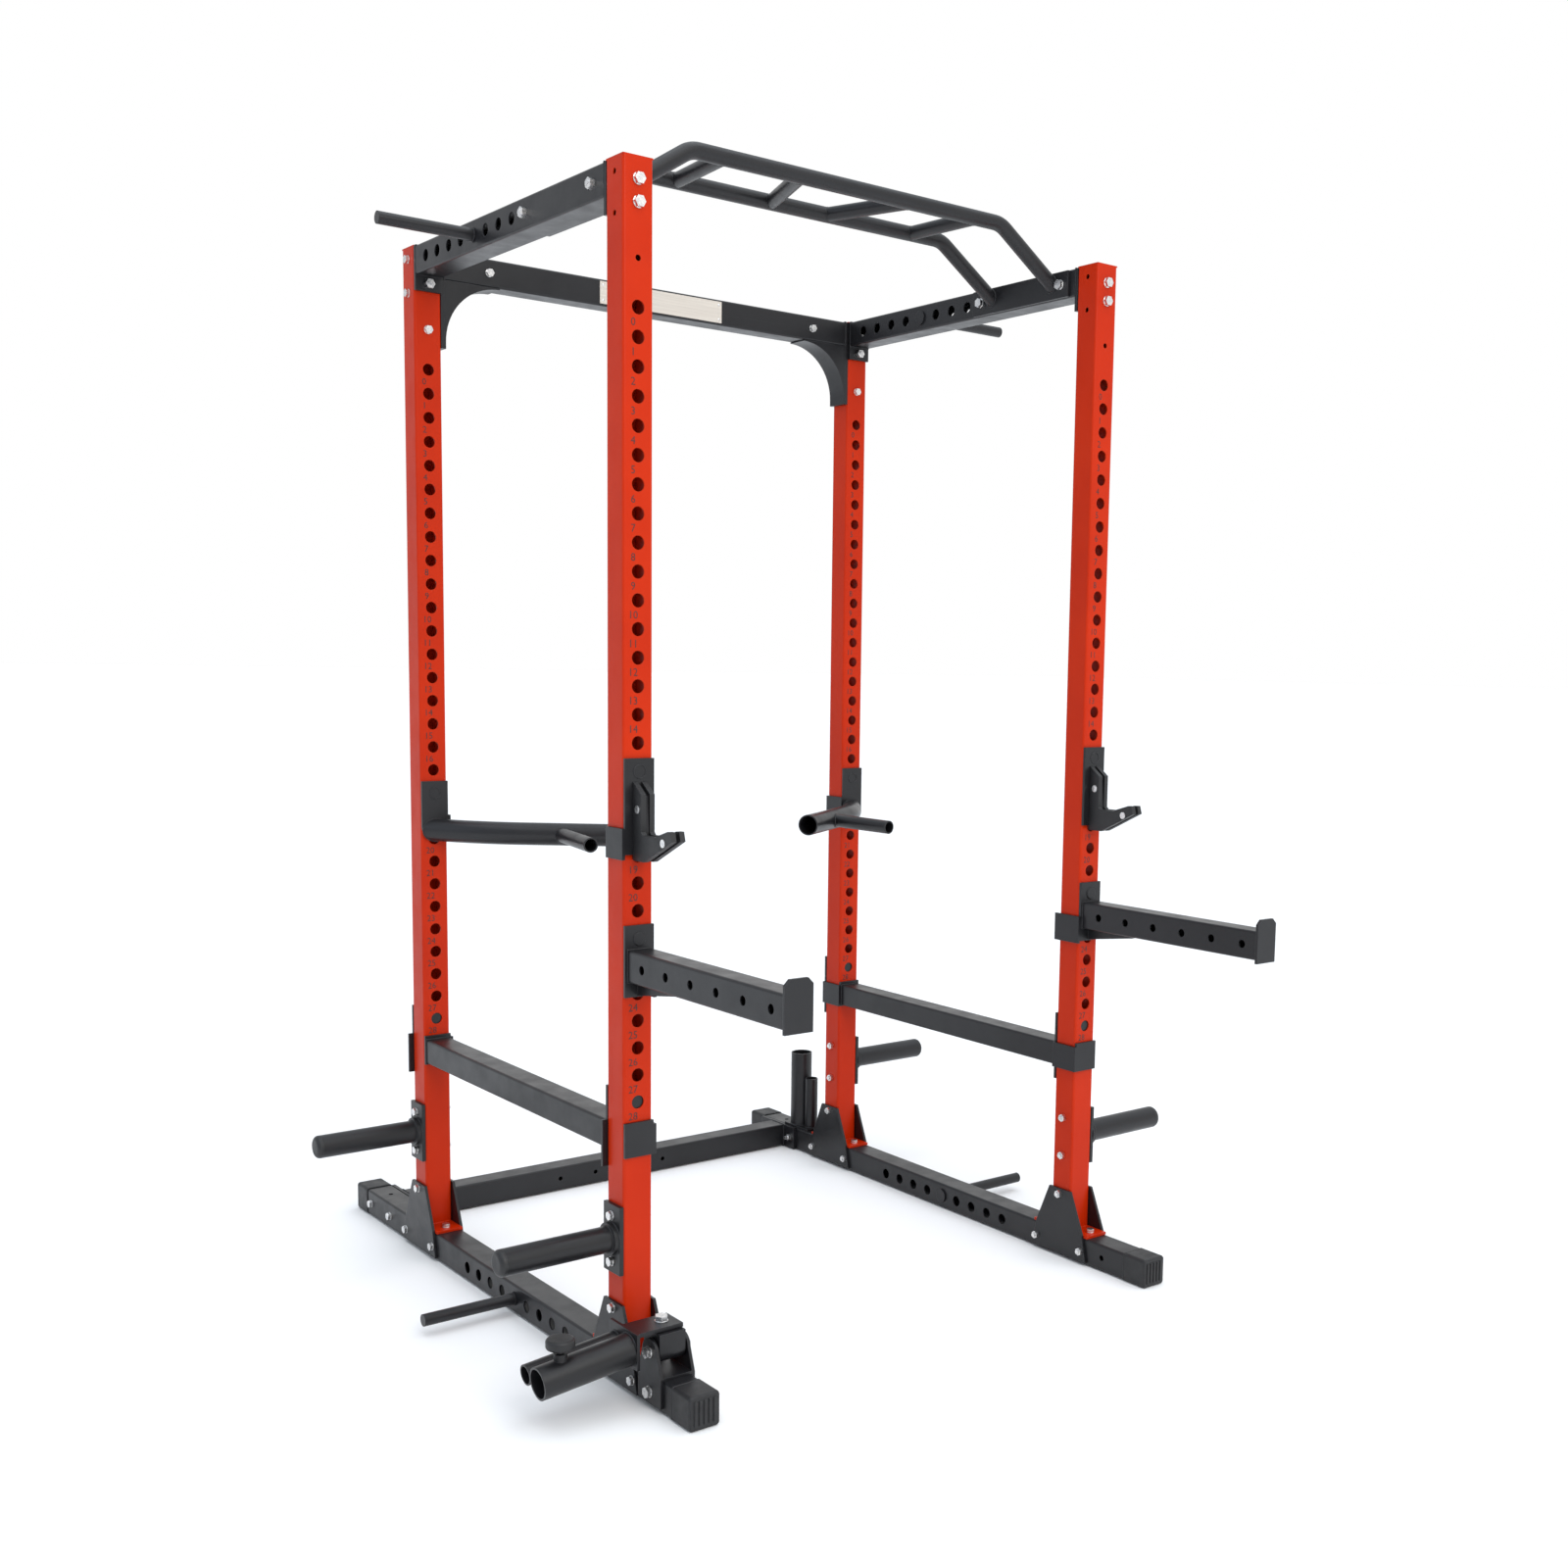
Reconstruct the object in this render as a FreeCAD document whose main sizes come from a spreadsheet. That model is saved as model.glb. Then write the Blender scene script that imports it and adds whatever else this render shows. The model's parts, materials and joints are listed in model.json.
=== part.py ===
import FreeCAD, Part
import math
import os
import re
import Sketcher

# Power cage: four square uprights on two base beams, joined by top beams, with a multi-grip pull-up
# bar, plate pegs, band pegs, bar holder and landmine, and four pairs of pinned accessories.
# Frame: X across, Y front (-) to back (+), Z up, origin on the floor at the centre of the footprint.

DIMS = {
    # frame tube and layout
    "tube": 60, "wall": 3, "corner_r": 5, "upright_x": 580, "upright_y": 445, "shift_y": 75,
    "upright_foot": 62, "upright_top": 2217, "cap_thick": 3,
    "top_beam_z": 2188, "top_flange": 8, "top_flange_low": 2126,
    "beam_lift": 2, "beam_front": 709, "beam_back": 827, "rear_cross_y": 684,
    "boot_wall": 2, "boot_len": 67, "boot_end": 3,
    # hole rows
    "hole_r": 12.5, "hole_top": 1964, "hole_pitch": 50.8, "hole_count": 30,
    "row_base_pitch": 56, "row_base_y": 22, "row_top_pitch": 57.2, "row_top_y": 353,
    "bolt_high": 2181, "bolt_low": 2142, "cross_bolt_high": 2194, "cross_bolt_low": 2124,
    "small_hole_z": 2047.7, "bolt_r": 6, "bolt_hole_r": 6.5, "thin_bolt_r": 5, "thin_hole_r": 5.5,
    # accessories
    "plate": 6, "pin_r": 12.4, "pin_len": 46, "peg_z": 282, "peg_r": 25, "peg_reach": 850,
    "band_reach": 807, "bar_z": 2297, "bar_front_y": 337, "bar_back_y": 138, "bar_r": 16,
    "bar_bend_x": 389, "bar_leg_z": 2190, "safety": 55, "safety_z": 469.5,
    "spotter_z": 798, "spotter_w": 50, "spotter_tip": 975, "dip_z": 966, "dip_r": 25,
    "land_y": 578, "land_z": 107, "swivel_y": 560, "sleeve_z": 115, "pivot_r": 6, "swivel_r": 7,
    "knob_r": 6,
    "head_gap": 64, "pivot_gap": 0.05, "rocker_top": 142, "lug_top": 151,
    "foot_half": 87, "foot_bolt_step": 66, "gusset_bolt_step": 72, "gusset_bolt_z": 148,
    "foot_gusset_base": 88, "foot_gusset_mid": 74, "peg_bolt_step": 44, "peg_tip": 12, "cross_bolt_step": 57,
    "face_bolt_x": 437, "bar_bolt_front": 366, "bar_bolt_back": 102, "bar_bend_r": 60, "grip_r": 15,
    "brace_reach": 130, "brace_low": 2013, "blade": 8, "cheek": 10, "rivet_r": 4, "dip_bend": 420,
    "grip_out_front": 317, "grip_out_back": 300, "grip_in_front": 137, "grip_in_back": 71,
    "sleeve_y": 562, "side_sleeve_y": 515, "knob_x": 785, "bar_tall_y": 625, "bar_short_y": 577,
}

V = FreeCAD.Vector
doc = FreeCAD.newDocument("power_cage")
sheet = doc.addObject("Spreadsheet::Sheet", "dims")
for row, (alias, value) in enumerate(DIMS.items(), 1):
    sheet.set("A%d" % row, alias)
    sheet.set("B%d" % row, str(value))
    sheet.setAlias("B%d" % row, alias)
doc.recompute()
D = {alias: float(sheet.get(alias)) for alias in DIMS}
UX, UY = D["upright_x"], D["upright_y"]
HALF = D["tube"] / 2
LEFT, RIGHT, FRONT, BACK = -1, 1, -1, 1
nodes = []
counter = {}


def linked(text):
    """An expression over the sheet's aliases, as FreeCAD reads it."""
    return re.sub(r"[a-z][a-z_]+", lambda word: "dims." + word.group(), str(text))


def unique(base):
    counter[base] = counter.get(base, 0) + 1
    return "%s_%d" % (base, counter[base])


def place(thing, x=0, y=0, z=0, turn=None):
    """Put an object at (x, y, z), each an expression, with an optional rotation."""
    if turn:
        thing.Placement = FreeCAD.Placement(V(0, 0, 0), turn)
    for axis, text in zip("xyz", (x, y, z)):
        thing.setExpression("Placement.Base." + axis, linked(text))
    return thing


def box(x, y, z):
    """A box between two expressions along each axis."""
    block = doc.addObject("Part::Box", unique("box"))
    for name, (low, high) in zip(("Length", "Width", "Height"), (x, y, z)):
        block.setExpression(name, linked("(%s) - (%s)" % (high, low)))
    return place(block, x[0], y[0], z[0])


TURNS = {
    "x": FreeCAD.Rotation(V(0, 1, 0), 90),
    "y": FreeCAD.Rotation(V(1, 0, 0), -90),
    "z": FreeCAD.Rotation(),
}


def rod(radius, length, x, y, z, along="z"):
    """A cylinder that starts at (x, y, z) and runs towards + along one axis."""
    bar = doc.addObject("Part::Cylinder", unique("rod"))
    bar.setExpression("Radius", linked(radius))
    bar.setExpression("Height", linked(length))
    return place(bar, x, y, z, TURNS[along])


def fuse(*parts):
    union = doc.addObject("Part::MultiFuse", unique("fuse"))
    union.Shapes = list(parts)
    union.Refine = True
    return union


def cut(base, *tools):
    result = doc.addObject("Part::Cut", unique("cut"))
    result.Base = base
    result.Tool = tools[0] if len(tools) == 1 else group(*tools)
    return result


def group(*parts):
    bundle = doc.addObject("Part::Compound", unique("group"))
    bundle.Links = list(parts)
    return bundle


def fixed_shape(shape):
    """A shape that neither a body nor a primitive makes, already in its place."""
    feature = doc.addObject("Part::Feature", unique("shape"))
    feature.Shape = shape
    return feature


def node(label, thing):
    """Name a finished sub-part; the label is its file's name."""
    thing.Label = label
    nodes.append(thing)
    return thing


def sketch(body, role, points=(), circles=()):
    """A sketch on an origin plane: one closed outline and any circles, all driven by the sheet."""
    profile = body.newObject("Sketcher::SketchObject", unique("sketch"))
    plane = [item for item in body.Origin.OriginFeatures if item.Role == role][0]
    profile.AttachmentSupport = (plane, [""])
    profile.MapMode = "FlatFace"
    angles = [2 * math.pi * i / len(points) for i in range(len(points))]
    rough = [V(math.cos(angle), math.sin(angle), 0) for angle in angles]
    for i, start in enumerate(rough):
        profile.addGeometry(Part.LineSegment(start, rough[(i + 1) % len(points)]), False)
    for i in range(len(points)):
        profile.addConstraint(Sketcher.Constraint("Coincident", i, 2, (i + 1) % len(points), 1))
    marks = [(i, 1, point) for i, point in enumerate(points)]
    for offset, (centre, radius) in enumerate(circles):
        edge = profile.addGeometry(Part.Circle(V(0, 0, 0), V(0, 0, 1), 10 + offset), False)
        size = profile.addConstraint(Sketcher.Constraint("Radius", edge, 10.0 + offset))
        profile.setExpression("Constraints[%d]" % size, linked(radius))
        marks.append((edge, 3, centre))
    for geometry, spot, point in marks:
        for kind, text in zip(("DistanceX", "DistanceY"), point):
            index = profile.addConstraint(Sketcher.Constraint(kind, -1, 1, geometry, spot, 1.0))
            profile.setExpression("Constraints[%d]" % index, linked(text))
    return profile


def pad(body, profile, length):
    feature = body.newObject("PartDesign::Pad", unique("pad"))
    feature.Profile = profile
    feature.setExpression("Length", linked(length))
    return feature


def pocket(body, profile):
    """Cut a sketch right through, both ways."""
    feature = body.newObject("PartDesign::Pocket", unique("pocket"))
    feature.Profile = profile
    feature.Type = "ThroughAll"
    feature.Midplane = True
    return feature


def pattern(body, feature, pitch, count):
    """Repeat a pocket up its sketch's vertical axis."""
    row = body.newObject("PartDesign::LinearPattern", unique("row"))
    row.Originals = [feature]
    row.Direction = (feature.Profile[0], ["V_Axis"])
    row.Mode = "Spacing"
    row.setExpression("Offset", linked(pitch))
    row.setExpression("Occurrences", linked(count))
    body.Tip = row
    return row


def plate(role, points, thickness, x=0, y=0, z=0, circles=()):
    """A flat plate: an outline padded along its plane's normal (+X, -Y or +Z)."""
    body = doc.addObject("PartDesign::Body", unique("plate"))
    pad(body, sketch(body, role, points, circles), thickness)
    return place(body, x, y, z)


def rectangle(half_x, half_y):
    return [("-(%s)" % half_x, "-(%s)" % half_y), (half_x, "-(%s)" % half_y), (half_x, half_y),
            ("-(%s)" % half_x, half_y)]


def tube_body(length, half_x="tube / 2", half_y="tube / 2"):
    """A square tube from z = 0 upwards, with rounded corners."""
    body = doc.addObject("PartDesign::Body", unique("tube"))
    pad(body, sketch(body, "XY_Plane", rectangle(half_x, half_y)), length)
    doc.recompute()
    blank = body.Tip
    long_edges = ["Edge%d" % (i + 1) for i, edge in enumerate(blank.Shape.Edges)
                  if abs(edge.Vertexes[0].Z - edge.Vertexes[1].Z) > 1]
    rounding = body.newObject("PartDesign::Fillet", unique("fillet"))
    rounding.Base = (blank, long_edges)
    rounding.setExpression("Radius", linked("corner_r"))
    pocket(body, sketch(body, "XY_Plane", rectangle(half_x + " - wall", half_y + " - wall")))
    return body


def holes(body, role, places, radius):
    """Round holes through both walls; places are heights along the tube."""
    return pocket(body, sketch(body, role, circles=[(("0", place_up), radius) for place_up in places]))


def across(side, near, far):
    """The low and high x of something between two distances from the middle plane."""
    return (near, far) if side > 0 else ("-(%s)" % far, "-(%s)" % near)


def column_x(side):
    return across(side, "upright_x - tube / 2", "upright_x + tube / 2")


def row_y(end):
    return "%d * upright_y + shift_y" % end


def upright(label, side, end):
    """A column with its numbered hole row, bolt holes and welded top plate."""
    body = tube_body("upright_top - upright_foot - plate")
    drop = " - upright_foot - plate"
    first = holes(body, "XZ_Plane", ["hole_top - hole_pitch * (hole_count - 1)" + drop], "hole_r")
    pattern(body, first, "hole_pitch", "hole_count")
    holes(body, "XZ_Plane", ["bolt_high" + drop, "bolt_low" + drop], "bolt_hole_r")
    holes(body, "XZ_Plane", ["small_hole_z" + drop], "thin_hole_r")
    side_bolts = ["cross_bolt_high", "cross_bolt_low", "gusset_bolt_z", "peg_z - peg_bolt_step", "peg_z + peg_bolt_step"]
    holes(body, "YZ_Plane", [level + drop for level in side_bolts], "thin_hole_r")
    place(body, "%d * upright_x" % side, row_y(end), "upright_foot + plate")
    top = box(column_x(side), (row_y(end) + " - tube / 2", row_y(end) + " + tube / 2"),
              ("upright_top", "upright_top + cap_thick"))
    return node(label, fuse(body, top))


def foot_plates():
    """The bolted plates welded under the four uprights."""
    plates = []
    for side in (LEFT, RIGHT):
        for end in (FRONT, BACK):
            foot = box(column_x(side), (row_y(end) + " - foot_half", row_y(end) + " + foot_half"),
                       ("upright_foot", "upright_foot + plate"))
            drill = [rod("thin_hole_r", "2 * plate", "%d * upright_x" % side, row_y(end) + " + (%s)" % step,
                         "upright_foot - plate / 2") for step in ("-foot_bolt_step", "foot_bolt_step")]
            plates.append(cut(foot, *drill))
    return node("upright_foot_plates", group(*plates))


def base_beam(label, side):
    """A floor beam along Y with its peg row and bolt holes."""
    body = tube_body("beam_front + beam_back")
    bolts = ["beam_front + %d * upright_y + (%s)" % (end, step) for end in (FRONT, BACK)
             for step in ("-gusset_bolt_step", "gusset_bolt_step")]
    bolts += ["beam_front + rear_cross_y + (%s)" % step for step in ("-cross_bolt_step", "cross_bolt_step")]
    holes(body, "YZ_Plane", bolts, "thin_hole_r")
    holes(body, "YZ_Plane", ["beam_front - land_y"], "bolt_hole_r")
    peg_row = ["beam_front - row_base_y + row_base_pitch * (%d)" % step for step in range(-4, 5)]
    holes(body, "YZ_Plane", peg_row, "hole_r")
    place(body, "%d * upright_x" % side, "shift_y - beam_front", "beam_lift + tube / 2", TURNS["y"])
    spots = [row_y(end) + " + (%s)" % step for end in (FRONT, BACK)
             for step in ("-foot_bolt_step", "foot_bolt_step")]
    feet = [rod("thin_hole_r", "2 * wall", "%d * upright_x" % side, spot, "upright_foot - 1.5 * wall")
            for spot in spots + ["rear_cross_y + 10 + shift_y"]]
    return node(label, cut(body, *feet))


def top_beam(label, side):
    """A top side beam with its end flanges and peg row."""
    start = "(upright_y - tube / 2 - top_flange)"
    body = tube_body("2 * " + start)
    holes(body, "YZ_Plane", [start + " + row_top_y - row_top_pitch * %d" % step for step in range(8)], "hole_r")
    holes(body, "YZ_Plane", [start + " - bar_bolt_front", start + " - bar_bolt_back"], "bolt_hole_r")
    place(body, "%d * upright_x" % side, "shift_y - " + start, "top_beam_z", TURNS["y"])
    flanges = []
    for end in (FRONT, BACK):
        near = "%d * (upright_y - tube / 2) + shift_y" % end
        far = "%d * (upright_y - tube / 2 - top_flange) + shift_y" % end
        low, high = (near, far) if end == FRONT else (far, near)
        slab = box(column_x(side), (low, high), ("top_flange_low", "top_beam_z + tube / 2"))
        drill = [rod("bolt_hole_r", "2 * top_flange", "%d * upright_x" % side, low + " - top_flange / 2", level, "y")
                 for level in ("bolt_high", "bolt_low")]
        flanges.append(cut(slab, *drill))
    return node(label, fuse(body, *flanges))


def crossbeam(label, y, z, flange_y, flange_z, flange_bolts, front_holes):
    """A tube across X between the side frames, with a drilled flange at each end."""
    reach = "(upright_x - tube / 2 - top_flange)"
    body = tube_body("2 * " + reach)
    holes(body, "XZ_Plane", [reach + " + (%s)" % x for x in front_holes], "thin_hole_r")
    place(body, "-" + reach, y, z, TURNS["x"])
    flanges = []
    for side in (LEFT, RIGHT):
        low_x, high_x = across(side, reach, "upright_x - tube / 2")
        slab = box((low_x, high_x), flange_y, flange_z)
        drill = [rod(radius, "2 * top_flange", low_x + " - top_flange / 2", bolt_y, bolt_z, "x")
                 for bolt_y, bolt_z, radius in flange_bolts]
        flanges.append(cut(slab, *drill))
    return node(label, fuse(body, *flanges))


def corner_gussets():
    """Hollow curved braces between the rear top beam and the rear uprights."""
    braces = []
    outer_face, inner_face = "upright_x - tube / 2 - top_flange", "upright_x - tube / 2 - top_flange - brace_reach"
    front, rear = "upright_y - tube / 2 + shift_y", "upright_y + tube / 2 + shift_y"
    low, high = "brace_low", "top_beam_z - tube / 2"
    centre_z = "top_beam_z - tube / 2 - brace_reach"
    for side in (LEFT, RIGHT):
        centre_x = "%d * (%s)" % (side, inner_face)
        span_x = across(side, inner_face, outer_face)
        scoop = rod("brace_reach - wall", "tube", centre_x, front, centre_z, "y")
        below = box(across(side, inner_face, outer_face + " - wall"), (front, rear), (low, centre_z))
        skin = rod("brace_reach", "tube", centre_x, front, centre_z, "y")
        void = cut(box(span_x, (front + " + wall", rear + " - wall"), (centre_z, high)), skin)
        braces.append(cut(box(span_x, (front, rear), (low, high)), scoop, below, void))
    return node("corner_gussets", group(*braces))


def gusset_points():
    """The outline of a foot gusset: wide along the beam, narrow up the column."""
    right = [("foot_gusset_base", "8"), ("foot_gusset_mid", "68"), ("34", "160")]
    return right + [("-(%s)" % y, z) for y, z in reversed(right)]


def foot_gussets():
    """Eight trapezoid plates that tie the uprights to the base beams, inside and outside."""
    plates = []
    beam_z = "beam_lift + tube / 2"
    spots = [("-gusset_bolt_step", beam_z), ("gusset_bolt_step", beam_z), ("0", "gusset_bolt_z")]
    bolts = [(spot, "thin_hole_r") for spot in spots]
    for side in (LEFT, RIGHT):
        for near in ("upright_x + tube / 2", "upright_x - tube / 2 - plate"):
            for end in (FRONT, BACK):
                low_x = across(side, near, near + " + plate")[0]
                plates.append(plate("YZ_Plane", gusset_points(), "plate", low_x, row_y(end), "0", bolts))
    return node("foot_gussets", group(*plates))


def boots():
    """Moulded end boots on the four ends of the base beams, with ribbed faces."""
    caps = []
    for side in (LEFT, RIGHT):
        for end, tip in ((FRONT, "beam_front"), (BACK, "beam_back")):
            face = "%d * (%s + boot_end) + shift_y" % (end, tip)
            mouth = "%d * (%s + boot_end - boot_len) + shift_y" % (end, tip)
            stop = "%d * %s + shift_y" % (end, tip)
            body_y = (face, mouth) if end == FRONT else (mouth, face)
            inside_y = (stop, mouth) if end == FRONT else (mouth, stop)
            shell = box(across(side, "upright_x - tube / 2 - boot_wall", "upright_x + tube / 2 + boot_wall"),
                        body_y, ("0", "tube + 2 * boot_wall"))
            hollow = box(column_x(side), inside_y, ("beam_lift", "beam_lift + tube"))
            groove_y = (face, face + " + 1.5") if end == FRONT else (face + " - 1.5", face)
            grooves = []
            for x in range(-20, 21, 10):
                middle = "%d * upright_x + (%d)" % (side, x)
                grooves.append(box((middle + " - 2", middle + " + 2"), groove_y, ("6", "58")))
            caps.append(cut(shell, hollow, *grooves))
    return node("base_end_boots", group(*caps))


def bent_tube(points, bend, radius, bore):
    """A round tube along straight runs joined by tangent arcs."""
    corners = [V(*point) for point in points]
    edges, start = [], corners[0]
    for before, corner, after in zip(corners, corners[1:], corners[2:]):
        back, on = (before - corner).normalize(), (after - corner).normalize()
        half = back.getAngle(on) / 2
        first = corner + back * (bend / math.tan(half))
        last = corner + on * (bend / math.tan(half))
        middle_way = (back + on).normalize()
        middle = corner + middle_way * (bend / math.sin(half) - bend)
        edges += [Part.LineSegment(start, first).toShape(), Part.Arc(first, middle, last).toShape()]
        start = last
    edges.append(Part.LineSegment(start, corners[-1]).toShape())
    way = Part.Wire(edges)

    def sweep(size):
        ring = Part.Wire([Part.Circle(corners[0], corners[1] - corners[0], size).toShape()])
        return way.makePipeShell([ring], True, False)

    return sweep(radius), sweep(bore)


def slab_shape(low, high):
    return Part.makeBox(high[0] - low[0], high[1] - low[1], high[2] - low[2], V(*low))


def pull_up_bar():
    """Two bent tubes, four grips between them and the plates that carry them."""
    inner = UX - HALF - D["plate"]
    rise = D["bar_z"] - D["bar_leg_z"]
    run = UX - HALF - D["bar_bend_x"]
    keep = slab_shape((-inner, -1000, 2000), (inner, 1000, 2500))
    front, rear = D["shift_y"] - D["bar_front_y"], D["shift_y"] - D["bar_back_y"]
    end_x, end_z = UX - HALF + run * 0.2, D["bar_leg_z"] - rise * 0.2
    outsides = []
    for label, y in (("pullup_front_tube", front), ("pullup_rear_tube", rear)):
        right = [V(D["bar_bend_x"], y, D["bar_z"]), V(end_x, y, end_z)]
        route = [V(-point.x, y, point.z) for point in reversed(right)] + right
        outside, inside = bent_tube(route, D["bar_bend_r"], D["bar_r"], D["bar_r"] - D["wall"])
        outsides.append(outside)
        node(label, fixed_shape(outside.cut(inside).common(keep)))
    grips = []
    for side in (LEFT, RIGHT):
        for front_x, rear_x in ((D["grip_out_front"], D["grip_out_back"]), (D["grip_in_front"], D["grip_in_back"])):
            start, stop = V(side * front_x, front, D["bar_z"]), V(side * rear_x, rear, D["bar_z"])
            bar = Part.makeCylinder(D["grip_r"], (stop - start).Length, start, stop - start)
            core = Part.makeCylinder(D["grip_r"] - D["wall"], (stop - start).Length, start, stop - start)
            grips.append(bar.cut([core] + outsides))
    node("pullup_grips", fixed_shape(Part.makeCompound(grips)))
    plates = []
    for side in (LEFT, RIGHT):
        x = across(side, "upright_x - tube / 2 - plate", "upright_x - tube / 2")
        slab = box(x, ("shift_y - bar_bolt_front - 24", "shift_y - bar_bolt_back + 26"),
                   ("top_beam_z - tube / 2 + 2", "top_beam_z + tube / 2 - 2"))
        drill = [rod("bolt_hole_r", "2 * plate", x[0] + " - plate / 2", "shift_y - " + spot, "top_beam_z", "x")
                 for spot in ("bar_bolt_front", "bar_bolt_back")]
        plates.append(cut(slab, *drill))
    node("pullup_mount_plates", group(*plates))


def plate_pegs():
    """Four weight-plate pegs on bolted flanges, with a rounded plug in each end."""
    pegs, tips = [], []
    face = "(upright_x + tube / 2)"
    seat = face + " + top_flange"
    length = "peg_reach - peg_tip - upright_x - tube / 2 - top_flange"
    for side in (LEFT, RIGHT):
        tube_x = across(side, seat, "peg_reach - peg_tip")[0]
        for end in (FRONT, BACK):
            flange = box(across(side, face, seat), (row_y(end) + " - tube / 2", row_y(end) + " + tube / 2"),
                         ("peg_z - 65", "peg_z + 65"))
            collar = rod("peg_r + 6", "10", across(side, seat, seat + " + 10")[0], row_y(end), "peg_z", "x")
            tube = rod("peg_r", length, tube_x, row_y(end), "peg_z", "x")
            bore = rod("peg_r - wall", length, tube_x, row_y(end), "peg_z", "x")
            drill_x = across(side, face + " - 4", face + " + 12")[0]
            drill = [rod("thin_hole_r", "2 * top_flange", drill_x, row_y(end), "peg_z + (%s)" % step, "x")
                     for step in ("-peg_bolt_step", "peg_bolt_step")]
            pegs.append(cut(fuse(flange, cut(fuse(collar, tube), bore)), *drill))
            start = V(side * (D["peg_reach"] - D["peg_tip"]), end * UY + D["shift_y"], D["peg_z"])
            plug = Part.makeCylinder(D["peg_r"], D["peg_tip"], start, V(side, 0, 0))
            rim = [edge for edge in plug.Edges
                   if len(edge.Vertexes) == 1 and abs(abs(edge.Vertexes[0].X) - D["peg_reach"]) < 1e-6]
            tips.append(plug.makeFillet(D["peg_tip"] - 2, rim))
    node("plate_pegs", group(*pegs))
    node("plate_peg_plugs", fixed_shape(Part.makeCompound(tips)))


def band_pegs():
    """Round pegs for resistance bands, through the top and base beams."""
    pegs = []
    inner = "upright_x - tube / 2 - 4"
    for side in (LEFT, RIGHT):
        shaft_x = across(side, inner, "band_reach")[0]
        head_x = across(side, inner, inner + " + 4")[0]
        collar_x = across(side, "upright_x + tube / 2 + 0.5", "upright_x + tube / 2 + 2.5")[0]
        for y, z in (("row_top_y - 4 * row_top_pitch + shift_y", "top_beam_z"),
                     ("shift_y - row_base_y", "beam_lift + tube / 2")):
            shaft = rod("pin_r", "band_reach - (%s)" % inner, shaft_x, y, z, "x")
            pegs.append(fuse(shaft, rod("pin_r + 4", "4", head_x, y, z, "x"), rod("pin_r + 2", "2", collar_x, y, z, "x")))
    return node("band_pegs", group(*pegs))


def bar_holder():
    """Two upright tubes on a base plate, for storing bars on the right base beam."""
    floor = "upright_foot + plate"
    node("bar_holder_plate", box(column_x(RIGHT), ("shift_y + bar_short_y - 24", "shift_y + bar_tall_y + 35"),
                                 ("upright_foot", floor)))
    for label, radius, y, top in (("bar_holder_tall_tube", "28.5", "bar_tall_y", "270"),
                                  ("bar_holder_short_tube", "17.5", "bar_short_y", "205")):
        height = "%s - (%s)" % (top, floor)
        tube = rod(radius, height, "upright_x", "shift_y + " + y, floor)
        node(label, cut(tube, rod(radius + " - wall", height, "upright_x", "shift_y + " + y, floor)))


def hexagon(across_flats, height, z):
    """A hexagonal prism round the Z axis."""
    corner = across_flats / math.sqrt(3)
    angles = [math.radians(60 * i) for i in range(7)]
    ring = [V(corner * math.cos(angle), corner * math.sin(angle), z) for angle in angles]
    return Part.Face(Part.makePolygon(ring)).extrude(V(0, 0, height))


def bolt_shape(radius, length):
    """A flanged hex bolt: its seat at z = 0, its shank towards +Z."""
    head = hexagon(radius * 3.1, radius * 1.3, -radius * 1.3 - 1.5)
    flange = Part.makeCylinder(radius * 1.8, 1.5, V(0, 0, -1.5))
    return head.fuse([flange, Part.makeCylinder(radius, length)]).removeSplitter()


def nut_shape(radius):
    """A hex nut from z = 0 towards +Z."""
    return hexagon(radius * 3.1, radius * 1.6, 0).cut(Part.makeCylinder(radius, radius * 2))


def put(shape, spot, way):
    """A copy of a shape with its origin at spot and its +Z along way."""
    copy = shape.copy()
    copy.Placement = FreeCAD.Placement(V(*spot), FreeCAD.Rotation(V(0, 0, 1), V(*way)))
    return copy


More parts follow.
